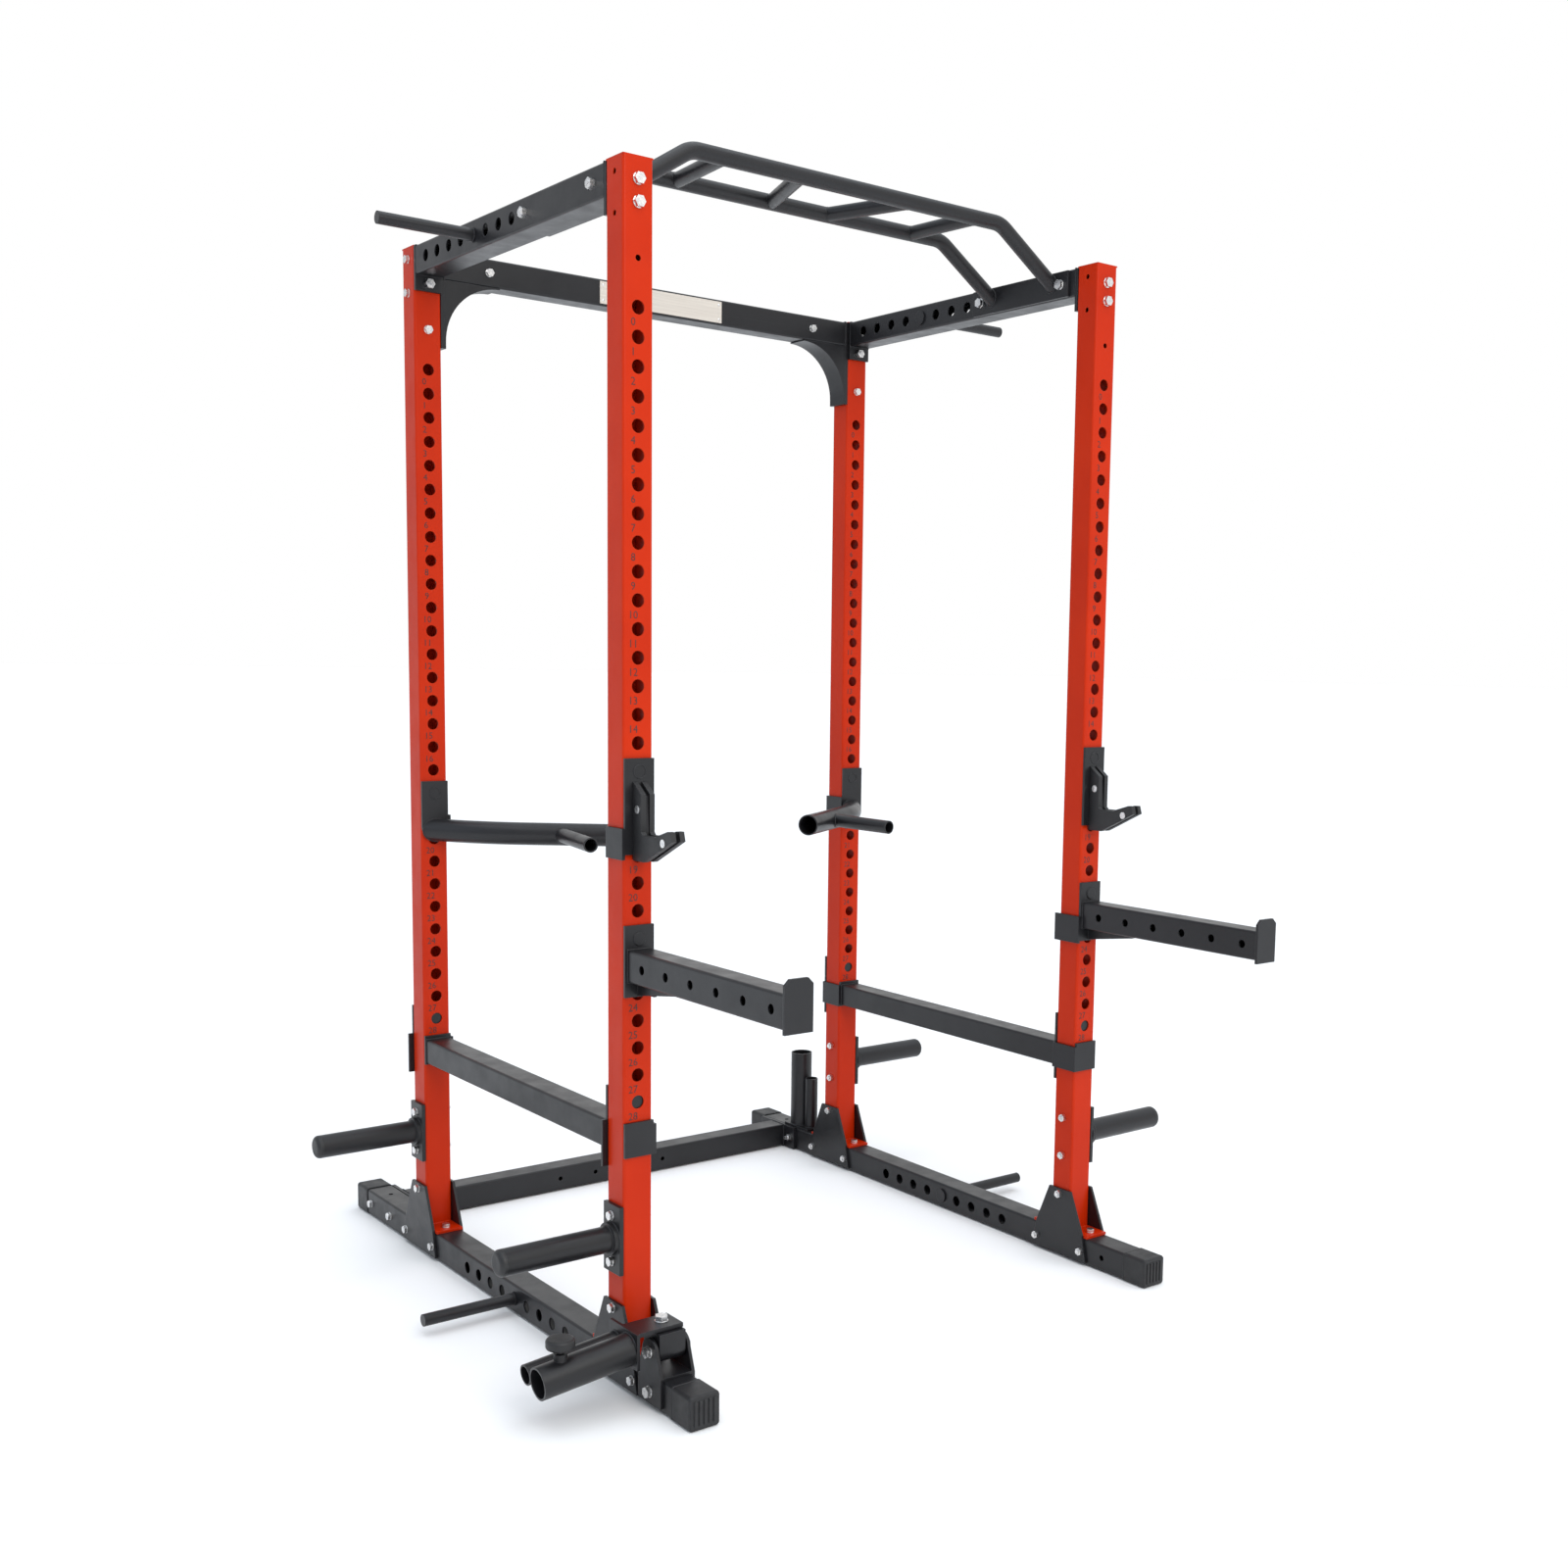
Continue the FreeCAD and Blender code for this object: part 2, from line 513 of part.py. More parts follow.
def fasteners():
    """Every bolt and nut of the fixed frame, grouped by what it holds."""
    thick, thin = D["bolt_r"], D["thin_bolt_r"]
    shift, beam_z = D["shift_y"], D["beam_lift"] + HALF
    groups, nuts = {}, {thick: [], thin: []}

    def bolt(label, radius, seat, way, grip, length):
        groups.setdefault(label, []).append(put(bolt_shape(radius, length), seat, way))
        end = [seat[i] + way[i] * grip for i in range(3)]
        nuts[radius].append(put(nut_shape(radius), end, way))

    for side in (LEFT, RIGHT):
        x = side * UX
        for end in (FRONT, BACK):
            y = end * UY + shift
            for z in (D["bolt_high"], D["bolt_low"]):
                bolt("top_frame_bolts", thick, (x, y + end * HALF, z), (0, -end, 0), 2 * HALF + D["top_flange"], 80)
            for step, z in ((-D["gusset_bolt_step"], beam_z), (D["gusset_bolt_step"], beam_z), (0, D["gusset_bolt_z"])):
                bolt("base_bolts", thin, (x + side * (HALF + D["plate"]), y + step, z), (-side, 0, 0),
                     2 * HALF + 2 * D["plate"], 84)
            for step in (-D["foot_bolt_step"], D["foot_bolt_step"]):
                bolt("foot_tab_bolts", thin, (x, y + step, D["upright_foot"] + D["plate"]), (0, 0, -1),
                     D["plate"] + D["wall"], 24)
            for step in (-D["peg_bolt_step"], D["peg_bolt_step"]):
                bolt("plate_peg_bolts", thin, (x + side * (HALF + D["top_flange"]), y, D["peg_z"] + step),
                     (-side, 0, 0), 2 * HALF + D["top_flange"], 80)
        for step in (-D["cross_bolt_step"], D["cross_bolt_step"]):
            bolt("base_bolts", thin, (x + side * HALF, D["rear_cross_y"] + step + shift, beam_z), (-side, 0, 0),
                 2 * HALF + D["top_flange"], 84)
        for z in (D["cross_bolt_high"], D["cross_bolt_low"]):
            bolt("rear_beam_bolts", thin, (x + side * HALF, UY + shift, z), (-side, 0, 0),
                 2 * HALF + D["top_flange"], 78)
        for cross_x, z in ((side * D["face_bolt_x"], D["top_beam_z"]), (x, D["small_hole_z"])):
            bolt("rear_beam_bolts", thin, (cross_x, UY - HALF + shift, z), (0, 1, 0), 2 * HALF, 78)
        for y in (D["bar_bolt_front"], D["bar_bolt_back"]):
            bolt("pullup_bolts", thick, (side * (UX - HALF - D["plate"]), shift - y, D["top_beam_z"]), (side, 0, 0),
                 2 * HALF + D["plate"], 78)
    bolt("base_bolts", thick, (-UX - HALF - D["plate"], shift - D["land_y"], beam_z), (1, 0, 0),
         2 * HALF + 2 * D["plate"], 84)
    for label, shapes in groups.items():
        node(label, fixed_shape(Part.makeCompound(shapes)))
    node("large_nuts", fixed_shape(Part.makeCompound(nuts[thick])))
    node("small_nuts", fixed_shape(Part.makeCompound(nuts[thin])))


FRONT_FACE = "(shift_y - upright_y - tube / 2)"
REAR_FRONT_FACE = "(shift_y + upright_y - tube / 2)"


def hook_point(forward, z):
    """A point of a side profile, so far in front of a front column's face."""
    return ("%s - (%s)" % (FRONT_FACE, forward), z)


def jhook(name, side):
    """A pinned bar catch: bent bracket with a steel blade, two plastic cheeks and rivets."""
    face = box(column_x(side), (FRONT_FACE + " - plate", FRONT_FACE), ("1001", "1175"))
    wrap = box(across(side, "upright_x + tube / 2", "upright_x + tube / 2 + plate"),
               (FRONT_FACE + " - plate", FRONT_FACE + " + 54"), ("992", "1049"))
    pin = rod("pin_r", "pin_len + plate", "%d * upright_x" % side, FRONT_FACE + " - plate",
              "hole_top - 16 * hole_pitch", "y")
    rivets = [(hook_point("22", "1084"), "rivet_r"), (hook_point("110", "1031"), "rivet_r")]
    blade_line = [("plate", "1001"), ("40", "997"), ("126", "1033"), ("124", "1044"), ("94", "1034"), ("34", "1034"),
                  ("30", "1108"), ("plate", "1124")]
    blade = plate("YZ_Plane", [hook_point(*point) for point in blade_line], "blade",
                  "%d * upright_x - blade / 2" % side, circles=rivets)
    node(name + "_bracket", fuse(face, wrap, pin, blade))
    cheek_line = [("plate + 0.5", "991"), ("45", "991"), ("140", "1036"), ("135", "1053"), ("125", "1053"), ("92", "1043"),
                  ("84", "1039"), ("40", "1039"), ("35", "1044"), ("35", "1112"), ("plate + 0.5", "1133")]
    cheeks = [plate("YZ_Plane", [hook_point(*point) for point in cheek_line], "cheek",
                    "%d * upright_x + %s" % (side, step), circles=rivets)
              for step in ("blade / 2", "-blade / 2 - cheek")]
    node(name + "_cheeks", group(*cheeks))
    pins = []
    low, stack = "%d * upright_x - blade / 2 - cheek" % side, "blade + 2 * cheek"
    for (y, z), radius in rivets:
        heads = [rod(radius + " + 3.5", "1.5", start, y, z, "x") for start in (low + " - 1.5", low + " + " + stack)]
        pins.append(fuse(rod(radius, stack, low, y, z, "x"), *heads))
    node(name + "_rivets", group(*pins))


def spotter(name, side):
    """A pinned spotter arm in front of an upright: bracket, drilled tube and end plate."""
    face = box(column_x(side), (FRONT_FACE + " - plate", FRONT_FACE), ("740", "872"))
    wrap = box(across(side, "upright_x - tube / 2 - plate", "upright_x - tube / 2"),
               (FRONT_FACE + " - plate", FRONT_FACE + " + 70"), ("735", "796"))
    pin = rod("pin_r", "pin_len + plate + 2", "%d * upright_x" % side, FRONT_FACE + " - plate - 2",
              "hole_top - 22 * hole_pitch", "y")
    web = plate("YZ_Plane", [(FRONT_FACE + " - plate", "742"), (FRONT_FACE + " - plate", "spotter_z - 30"),
                             (FRONT_FACE + " - 140", "spotter_z - 30"), (FRONT_FACE + " - 140", "spotter_z - 36")],
                "8", "%d * upright_x - 4" % side)
    node(name + "_bracket", fuse(face, wrap, pin, web))
    length = "spotter_tip - upright_y - tube / 2 - plate"
    arm = tube_body(length, "spotter_w / 2", "tube / 2")
    holes(arm, "YZ_Plane", ["spotter_tip - 531 - 81.4 * %d" % step for step in range(6)], "8.5")
    node(name + "_arm", place(arm, "%d * upright_x" % side, "shift_y - spotter_tip", "spotter_z", TURNS["y"]))
    outline = [("-28", "762"), ("28", "762"), ("28", "842"), ("18", "852"), ("-18", "852"), ("-28", "842")]
    node(name + "_end_plate", plate("XZ_Plane", outline, "plate", "%d * upright_x" % side, "shift_y - spotter_tip", "0"))


def dip_handle(name, side):
    """A pinned dip handle on a rear upright: bracket and a forked pair of tubes."""
    face = box(column_x(side), (REAR_FRONT_FACE + " - plate", REAR_FRONT_FACE), ("977", "1076"))
    chin = rod("tube / 2", "plate", "%d * upright_x" % side, REAR_FRONT_FACE + " - plate", "977", "y")
    wrap = box(across(side, "upright_x - tube / 2 - plate", "upright_x - tube / 2"),
               (REAR_FRONT_FACE + " - plate", REAR_FRONT_FACE + " + tube"), ("950", "1000"))
    pin = rod("pin_r", "pin_len + plate", "%d * upright_x" % side, REAR_FRONT_FACE + " - plate",
              "hole_top - 18 * hole_pitch", "y")
    node(name + "_bracket", fuse(face, chin, wrap, pin))
    shift, z, radius = D["shift_y"], D["dip_z"], D["dip_r"]
    wall = UY - HALF - D["plate"] + shift
    route = [(side * 588, 423 + shift, z + 2), (side * 505, 310 + shift, z), (side * 250, 150 + shift, z - 4)]
    main, main_bore = bent_tube(route, D["dip_bend"], radius, radius - D["wall"])
    start, stop = V(side * 372, 226 + shift, z - 2), V(side * 402, 28 + shift, z - 6)
    branch = Part.makeCylinder(D["bar_r"], (stop - start).Length, start, stop - start)
    branch_bore = Part.makeCylinder(D["bar_r"] - D["wall"], (stop - start).Length, start, stop - start)
    behind = slab_shape((-1000, wall, 0), (1000, wall + 200, 2000))
    fork = main.fuse(branch.cut(main)).cut(main_bore).cut(branch_bore.cut(main)).cut(behind)
    node(name + "_tubes", fixed_shape(fork))


def safety_bar(name, side):
    """A safety bar between the uprights of one side, with a pinned saddle at each end."""
    length = "2 * (upright_y - tube / 2 - plate)"
    bar = tube_body(length, "safety / 2", "safety / 2")
    node(name + "_tube", place(bar, "%d * upright_x" % side, "shift_y - (%s) / 2" % length, "safety_z", TURNS["y"]))
    saddles = []
    for end in (FRONT, BACK):
        front, rear = row_y(end) + " - tube / 2", row_y(end) + " + tube / 2"
        tall = box(column_x(side), (rear, rear + " + plate"), ("412", "565"))
        ear = box(across(side, "upright_x", "upright_x + tube / 2 + 10"), (rear, rear + " + plate"), ("412", "500"))
        short = box(column_x(side), (front + " - plate", front), ("440", "505"))
        wall = box(across(side, "upright_x - tube / 2 - plate", "upright_x - tube / 2"),
                   (front + " - plate", rear + " + plate"), ("440", "497"))
        pin = rod("pin_r", "tube + plate - 3", "%d * upright_x" % side, front + " + 3",
                  "hole_top - 28 * hole_pitch", "y")
        saddles.append(fuse(tall, ear, short, wall, pin))
    node(name + "_saddles", group(*saddles))


def landmine_mount():
    """The saddle over the left base beam, with its pivot bolt and the rocker that turns on it."""
    x, pin_y = "-upright_x", "shift_y - land_y"
    left_x, through = x + " - tube / 2 - 2 * plate", "tube + 4 * plate"
    half = [("40", "12"), ("40", "66"), ("24", "land_z + 4")]
    outline = half + [("-(%s)" % y, z) for y, z in reversed(half)]
    ears = []
    for low in ("-upright_x - tube / 2 - plate", "-upright_x + tube / 2"):
        ears += [plate("YZ_Plane", outline, "plate", low, pin_y, "0"), rod("25", "plate", low, pin_y, "land_z", "x")]
    web = box(("-upright_x - tube / 2", "-upright_x + tube / 2"), (pin_y + " - 40", pin_y + " + 40"),
              ("upright_foot", "upright_foot + plate"))
    pivot_hole = rod("pivot_r + pivot_gap", through, left_x, pin_y, "land_z", "x")
    beam_hole = rod("bolt_hole_r", through, left_x, pin_y, "beam_lift + tube / 2", "x")
    node("landmine_bracket", cut(fuse(web, *ears), pivot_hole, beam_hole))
    seat = (-UX - HALF - D["plate"], D["shift_y"] - D["land_y"], D["land_z"])
    pivot = put(bolt_shape(D["pivot_r"], 84), seat, (1, 0, 0))
    nut = put(nut_shape(D["pivot_r"]), (-UX + HALF + D["plate"], seat[1], seat[2]), (1, 0, 0))
    node("landmine_pivot_bolt", fixed_shape(Part.makeCompound([pivot, nut])))
    upper = box((x + " - 27", x + " + 27"), (pin_y + " - 22", pin_y + " + 34"), ("land_z", "rocker_top"))
    lower = rod("22", "54", x + " - 27", pin_y, "land_z", "x")
    pivot_bore = rod("pivot_r + pivot_gap", "60", x + " - 30", pin_y, "land_z", "x")
    swivel_bore = rod("swivel_r", "30", x, "shift_y - swivel_y", "rocker_top - 20")
    node("landmine_rocker", cut(fuse(upper, lower), pivot_bore, swivel_bore))
    top = (-UX, D["shift_y"] - D["swivel_y"], D["lug_top"] + 0.3)
    node("landmine_swivel_bolt", fixed_shape(put(bolt_shape(D["swivel_r"], 29), top, (0, 0, -1))))


def landmine_head():
    """Two bar sleeves on a back plate with a lug over the rocker, and the clamping knob."""
    shift, plate_thick, lug_top = D["shift_y"], D["plate"], D["lug_top"]
    sleeve_x = -UX - D["head_gap"] - plate_thick
    slope = V(-179, 0, -18.5)
    outer, bores = [], []
    for y, radius, wall in ((D["sleeve_y"], 30, 4), (D["side_sleeve_y"], 19, 3)):
        start = V(sleeve_x, shift - y, D["sleeve_z"])
        outer.append(Part.makeCylinder(radius, 180, start, slope))
        bores.append(Part.makeCylinder(radius - wall, 202, start - V(slope).normalize() * 20, slope))
    back_plate = slab_shape((sleeve_x, shift - 594, 84), (sleeve_x + plate_thick, shift - 494, lug_top))
    lug = slab_shape((sleeve_x, shift - 590, lug_top - 8), (-UX + 28, shift - 532, lug_top))
    beyond = slab_shape((sleeve_x - 200, -900, 0), (sleeve_x, 900, 400))
    tubes = outer[0].fuse(outer[1]).common(beyond)
    knob_spot = V(-D["knob_x"], shift - D["sleeve_y"], 0)
    boss = Part.makeCylinder(12, 22, knob_spot + V(0, 0, 120)).cut(outer[0])
    head = tubes.fuse([back_plate, boss]).cut(bores[0]).cut(bores[1]).fuse(lug).removeSplitter()
    swivel_bore = Part.makeCylinder(D["swivel_r"] + D["pivot_gap"], 200, V(-UX, shift - D["swivel_y"], 0))
    knob_bore = Part.makeCylinder(D["knob_r"] + D["pivot_gap"], 60, knob_spot + V(0, 0, 110))
    node("landmine_swivel_head", fixed_shape(head.cut(swivel_bore).cut(knob_bore)))
    grip = Part.makeCylinder(26, 18, knob_spot + V(0, 0, lug_top))
    grip = grip.makeFillet(5, [edge for edge in grip.Edges if edge.Curve.TypeId == "Part::GeomCircle"])
    stem = Part.makeCylinder(D["knob_r"], 22.5, knob_spot + V(0, 0, 130.5))
    neck = Part.makeCylinder(11, 6, knob_spot + V(0, 0, 145.5))
    node("landmine_knob", fixed_shape(grip.fuse([stem, neck]).removeSplitter()))


for side_name, side in (("left", LEFT), ("right", RIGHT)):
    for end_name, end in (("front", FRONT), ("rear", BACK)):
        upright("%s_%s_upright" % (end_name, side_name), side, end)
    base_beam(side_name + "_base_beam", side)
    top_beam(side_name + "_top_beam", side)
    jhook(side_name + "_jhook", side)
    spotter(side_name + "_spotter", side)
    dip_handle(side_name + "_dip", side)
    safety_bar(side_name + "_safety", side)
crossbeam("rear_top_crossbeam", "upright_y + shift_y", "top_beam_z",
          ("upright_y - tube / 2 + shift_y", "upright_y + tube / 2 + shift_y"), ("brace_low", "top_beam_z + tube / 2"),
          [("upright_y + shift_y", level, "thin_hole_r") for level in ("cross_bolt_high", "cross_bolt_low")],
          ("-face_bolt_x", "face_bolt_x"))
crossbeam("rear_base_crossbeam", "rear_cross_y + shift_y", "beam_lift + tube / 2",
          ("rear_cross_y - 78 + shift_y", "rear_cross_y + 78 + shift_y"), ("beam_lift", "beam_lift + tube"),
          [("rear_cross_y + (%s) + shift_y" % step, "beam_lift + tube / 2", "thin_hole_r")
           for step in ("-cross_bolt_step", "cross_bolt_step")], ("-150", "-50", "50", "150"))
corner_gussets()
foot_plates()
foot_gussets()
boots()
pull_up_bar()
plate_pegs()
band_pegs()
bar_holder()
landmine_mount()
landmine_head()
fasteners()
face_y = "upright_y - tube / 2 + shift_y"
node("blank_badge_plate", box(("-165", "165"), (face_y + " - 2", face_y), ("top_beam_z - 25", "top_beam_z + 25")))

doc.recompute()
broken = [item.Label for item in doc.Objects if "Invalid" in item.State or "Error" in item.State]
if broken:
    raise RuntimeError("failed features: %s" % broken)
os.makedirs("parts", exist_ok=True)
for item in nodes:
    shape = item.Shape
    if shape.isNull() or not shape.isValid() or not shape.Solids:
        raise RuntimeError("bad shape: " + item.Label)
    shape.exportStep("parts/%s.step" % item.Label)
    print(item.Label, len(shape.Solids), round(shape.Volume / 1000, 1), "cm3")
print(len(nodes), "nodes")
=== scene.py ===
import json
import math

import bmesh
import bpy
from mathutils import Matrix, Vector


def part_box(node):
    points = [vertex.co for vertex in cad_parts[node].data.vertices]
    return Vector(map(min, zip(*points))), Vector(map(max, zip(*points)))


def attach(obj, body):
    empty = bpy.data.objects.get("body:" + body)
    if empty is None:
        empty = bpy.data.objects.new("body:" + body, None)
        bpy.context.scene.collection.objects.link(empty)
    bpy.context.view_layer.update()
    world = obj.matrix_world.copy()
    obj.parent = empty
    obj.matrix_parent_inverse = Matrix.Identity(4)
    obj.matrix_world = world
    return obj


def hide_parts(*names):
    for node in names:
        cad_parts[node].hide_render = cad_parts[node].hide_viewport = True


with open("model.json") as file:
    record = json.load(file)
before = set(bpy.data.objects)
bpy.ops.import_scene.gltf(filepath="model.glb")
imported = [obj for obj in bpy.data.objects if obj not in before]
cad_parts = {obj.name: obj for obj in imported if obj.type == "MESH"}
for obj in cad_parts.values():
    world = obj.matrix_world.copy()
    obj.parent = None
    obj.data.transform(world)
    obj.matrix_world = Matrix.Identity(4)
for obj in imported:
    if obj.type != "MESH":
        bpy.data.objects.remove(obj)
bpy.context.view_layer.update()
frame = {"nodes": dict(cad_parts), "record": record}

MM = 0.001
SIDES = (("left", -1), ("right", 1))
ENDS = ("front", "rear")
RECORD = frame["record"]

# sizes shared by several pieces, as they are in the frame
TUBE = 60 * MM
FLANGE = 8 * MM
PLATE = 6 * MM
HOLE_PITCH = 50.8 * MM
HOLE_COUNT = 30
PEG_R, PEG_COLLAR_R, PEG_COLLAR = 25 * MM, 31 * MM, 10 * MM
BAR_R, GRIP_R = 16 * MM, 15 * MM
GRIP_ENDS = ((317 * MM, 300 * MM), (137 * MM, 71 * MM))
DIP_R, BRANCH_R = 25 * MM, 16 * MM
PIN_R = 12.4 * MM
BOOT_LENGTH = 67 * MM


# ---------------------------------------------------------------- materials

def shader(name, color, rough, metal=0.0):
    """A new material, its node tree, its principled shader and its object coordinates."""
    mat = bpy.data.materials.new(name)
    mat.use_nodes = True
    tree = mat.node_tree
    bsdf = tree.nodes["Principled BSDF"]
    bsdf.inputs["Base Color"].default_value = (*color, 1)
    bsdf.inputs["Roughness"].default_value = rough
    bsdf.inputs["Metallic"].default_value = metal
    place = tree.nodes.new("ShaderNodeTexCoord").outputs["Object"]
    return mat, tree, bsdf, place


def noise(tree, place, scale, detail=3.0, rough=0.55):
    """Noise from 0 to 1 over the object's own coordinates."""
    node = tree.nodes.new("ShaderNodeTexNoise")
    node.inputs["Scale"].default_value = scale
    node.inputs["Detail"].default_value = detail
    node.inputs["Roughness"].default_value = rough
    tree.links.new(place, node.inputs["Vector"])
    return node.outputs["Fac"]


def spread(tree, value, low, high, start=0.3, stop=0.7):
    """A value stretched from start..stop to low..high."""
    node = tree.nodes.new("ShaderNodeMapRange")
    for name, number in (("From Min", start), ("From Max", stop), ("To Min", low), ("To Max", high)):
        node.inputs[name].default_value = number
    tree.links.new(value, node.inputs["Value"])
    return node.outputs["Result"]


def tint(tree, factor, first, second):
    """A colour between two others, by a factor from 0 to 1."""
    node = tree.nodes.new("ShaderNodeMix")
    node.data_type = "RGBA"
    node.inputs["A"].default_value = (*first, 1)
    node.inputs["B"].default_value = (*second, 1)
    tree.links.new(factor, node.inputs["Factor"])
    return node.outputs["Result"]


def times(tree, first, second):
    """The product of two node outputs."""
    node = tree.nodes.new("ShaderNodeMath")
    node.operation = "MULTIPLY"
    tree.links.new(first, node.inputs[0])
    tree.links.new(second, node.inputs[1])
    return node.outputs["Value"]


def bump(tree, height, distance, strength, under):
    """A bumped normal on top of another normal."""
    node = tree.nodes.new("ShaderNodeBump")
    node.inputs["Distance"].default_value = distance
    node.inputs["Strength"].default_value = strength
    tree.links.new(height, node.inputs["Height"])
    tree.links.new(under, node.inputs["Normal"])
    return node.outputs["Normal"]


def edge_wear(tree, radius, start, stop):
    """A rounded normal, and a mask that is 1 where it leans away from the true one and 0 on faces."""
    soft = tree.nodes.new("ShaderNodeBevel")
    soft.inputs["Radius"].default_value = radius
    soft.samples = 6
    true = tree.nodes.new("ShaderNodeNewGeometry").outputs["True Normal"]
    dot = tree.nodes.new("ShaderNodeVectorMath")
    dot.operation = "DOT_PRODUCT"
    tree.links.new(soft.outputs["Normal"], dot.inputs[0])
    tree.links.new(true, dot.inputs[1])
    return soft.outputs["Normal"], spread(tree, dot.outputs["Value"], 1, 0, start, stop)


def powder_coat(name, color, shade, edge_highlight, rough, peel, gloss):
    """Baked powder paint: orange-peel skin, slow colour drift and edges lightened as a painted highlight."""
    mat, tree, bsdf, place = shader(name, color, rough)
    drift = tint(tree, spread(tree, noise(tree, place, 4.0), 0, 1), color, shade)
    soft, edges = edge_wear(tree, 1.6 * MM, 0.86, 0.995)
    # painted edge highlight: the paint turns to a paler colour along the edges, broken into patches by noise
    painted_highlight_mask = times(tree, edges, spread(tree, noise(tree, place, 60.0), 0.0, 0.55, 0.42, 0.66))
    mix = tree.nodes.new("ShaderNodeMix")
    mix.data_type = "RGBA"
    tree.links.new(painted_highlight_mask, mix.inputs["Factor"])
    tree.links.new(drift, mix.inputs["A"])
    mix.inputs["B"].default_value = (*edge_highlight, 1)
    tree.links.new(mix.outputs["Result"], bsdf.inputs["Base Color"])
    cloudy = spread(tree, noise(tree, place, 22.0), rough - 0.05, rough + 0.08)
    tree.links.new(cloudy, bsdf.inputs["Roughness"])
    tree.links.new(bump(tree, noise(tree, place, 420.0, 2.0), 0.25 * MM, peel, soft), bsdf.inputs["Normal"])
    bsdf.inputs["Specular IOR Level"].default_value = gloss
    bsdf.inputs["Coat Weight"].default_value = 0.04
    bsdf.inputs["Coat Roughness"].default_value = 0.25
    return mat


def zinc_plate(name):
    """Bright zinc plating with a cloudy, slightly uneven shine."""
    mat, tree, bsdf, place = shader(name, (0.78, 0.77, 0.74), 0.28, 1.0)
    cloud = noise(tree, place, 180.0)
    color = tint(tree, spread(tree, cloud, 0, 1), (0.86, 0.85, 0.82), (0.6, 0.6, 0.62))
    tree.links.new(color, bsdf.inputs["Base Color"])
    tree.links.new(spread(tree, noise(tree, place, 500.0), 0.2, 0.42), bsdf.inputs["Roughness"])
    soft, _ = edge_wear(tree, 0.6 * MM, 0.9, 0.995)
    tree.links.new(bump(tree, noise(tree, place, 900.0), 0.1 * MM, 0.3, soft), bsdf.inputs["Normal"])
    return mat


def moulded(name, color, rough, grain):
    """Matt moulded plastic or rubber with a fine spark-eroded grain and scuffed edges."""
    mat, tree, bsdf, place = shader(name, color, rough)
    soft, edges = edge_wear(tree, 1.2 * MM, 0.88, 0.995)
    lighter = tuple(c * 2.6 + 0.01 for c in color)
    scuff = times(tree, edges, spread(tree, noise(tree, place, 90.0), 0.1, 0.8))
    tree.links.new(tint(tree, scuff, color, lighter), bsdf.inputs["Base Color"])
    cloudy = spread(tree, noise(tree, place, 35.0), rough - 0.08, rough + 0.1)
    tree.links.new(cloudy, bsdf.inputs["Roughness"])
    tree.links.new(bump(tree, noise(tree, place, 1100.0, 1.0), 0.15 * MM, grain, soft), bsdf.inputs["Normal"])
    return mat


def brushed_badge(name):
    """A blank plate face with fine lines brushed along it."""
    mat, tree, bsdf, place = shader(name, (0.62, 0.57, 0.5), 0.4)
    stretch = tree.nodes.new("ShaderNodeMapping")
    stretch.inputs["Scale"].default_value = (6, 200, 900)
    tree.links.new(place, stretch.inputs["Vector"])
    lines = noise(tree, stretch.outputs["Vector"], 1.0)
    color = tint(tree, spread(tree, lines, 0, 1), (0.68, 0.63, 0.56), (0.55, 0.5, 0.44))
    tree.links.new(color, bsdf.inputs["Base Color"])
    soft, _ = edge_wear(tree, 0.8 * MM, 0.9, 0.995)
    tree.links.new(bump(tree, lines, 0.05 * MM, 0.3, soft), bsdf.inputs["Normal"])
    return mat


# the paler red and the grey are painted edge highlights for the red and the black paint and welds
RED, DEEP_RED, RED_EDGE_HIGHLIGHT = (0.52, 0.024, 0.0005), (0.45, 0.018, 0.0005), (0.66, 0.10, 0.04)
COAL, SOOT, BLACK_EDGE_HIGHLIGHT = (0.007, 0.007, 0.008), (0.011, 0.011, 0.013), (0.06, 0.06, 0.07)
LOOKS = {
    "red_paint": powder_coat("red_powder_coat", RED, DEEP_RED, RED_EDGE_HIGHLIGHT, 0.36, 0.14, 0.12),
    "black_paint": powder_coat("black_powder_coat", COAL, SOOT, BLACK_EDGE_HIGHLIGHT, 0.36, 0.3, 0.38),
    "zinc": zinc_plate("bright_zinc"),
    "black_plastic": moulded("moulded_black", (0.009, 0.009, 0.010), 0.5, 0.5),
    "blank_badge": brushed_badge("blank_badge_face"),
    "mark": moulded("printed_mark", (0.05, 0.012, 0.01), 0.6, 0.2),
    "weld": powder_coat("painted_weld", SOOT, COAL, BLACK_EDGE_HIGHLIGHT, 0.34, 0.3, 0.38),
    "red_weld": powder_coat("painted_red_weld", DEEP_RED, RED, RED_EDGE_HIGHLIGHT, 0.34, 0.2, 0.15),
}

for part in RECORD["subparts"]:
    thing = frame["nodes"][part["node"]]
    thing.data.materials.clear()
    thing.data.materials.append(LOOKS[part["material_slot"]])


# ---------------------------------------------------------------- helpers

def add_piece(name, mesh, body, look):
    """A mesh as a named piece that rides on a body, with the material of the given slot."""
    thing = bpy.data.objects.new(name, mesh)
    bpy.context.scene.collection.objects.link(thing)
    mesh.materials.append(LOOKS[look])
    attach(thing, body)
    return thing


def finish_mesh(name, bm):
    bmesh.ops.recalc_face_normals(bm, faces=bm.faces)
    mesh = bpy.data.meshes.new(name)
    bm.to_mesh(mesh)
    bm.free()
    return mesh


def mount_named(name):
    """The record's mount of that name."""
    return [mount for mount in RECORD["mounts"] if mount["name"] == name][0]


def middle(node):
    """The centre of a node's box."""
    low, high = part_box(node)
    return (low + high) / 2


